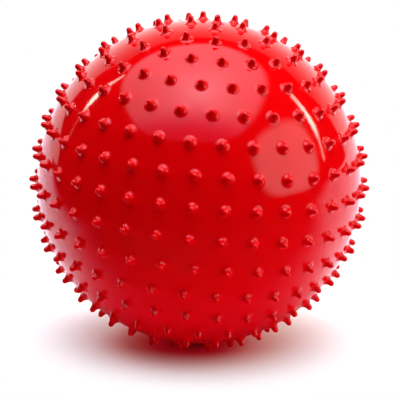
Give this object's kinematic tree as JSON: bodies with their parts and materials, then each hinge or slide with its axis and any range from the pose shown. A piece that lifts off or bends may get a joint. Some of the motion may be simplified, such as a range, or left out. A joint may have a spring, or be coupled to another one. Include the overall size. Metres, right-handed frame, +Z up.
{
  "type": "sensory ball",
  "caption": "Air-filled ball of soft glossy vinyl with rows of blunt moulded spikes, and an inflation valve with a push-in plug at its lower pole.",
  "frame": {"origin": "centre of the ball's skin", "axes": "+Z up along the axis that the rows of spikes go round, from the valve to the spike on the upper pole; -Y towards the viewer of the picture"},
  "size_m": [0.1988, 0.1988, 0.1987],
  "materials": {
    "skin": "glossy soft red vinyl",
    "seat": "darker red vinyl, satin",
    "plug": "white moulded plastic, satin"
  },
  "bodies": {
    "ball": {"skin": "skin", "valve_seat": "seat"},
    "plug": {"valve_plug": "plug"}
  },
  "joints": [
    {"name": "plug_slide", "type": "slide", "parent": "ball", "child": "plug", "axis": [0, 0, -1], "range_m": [0, 0.018]}
  ]
}
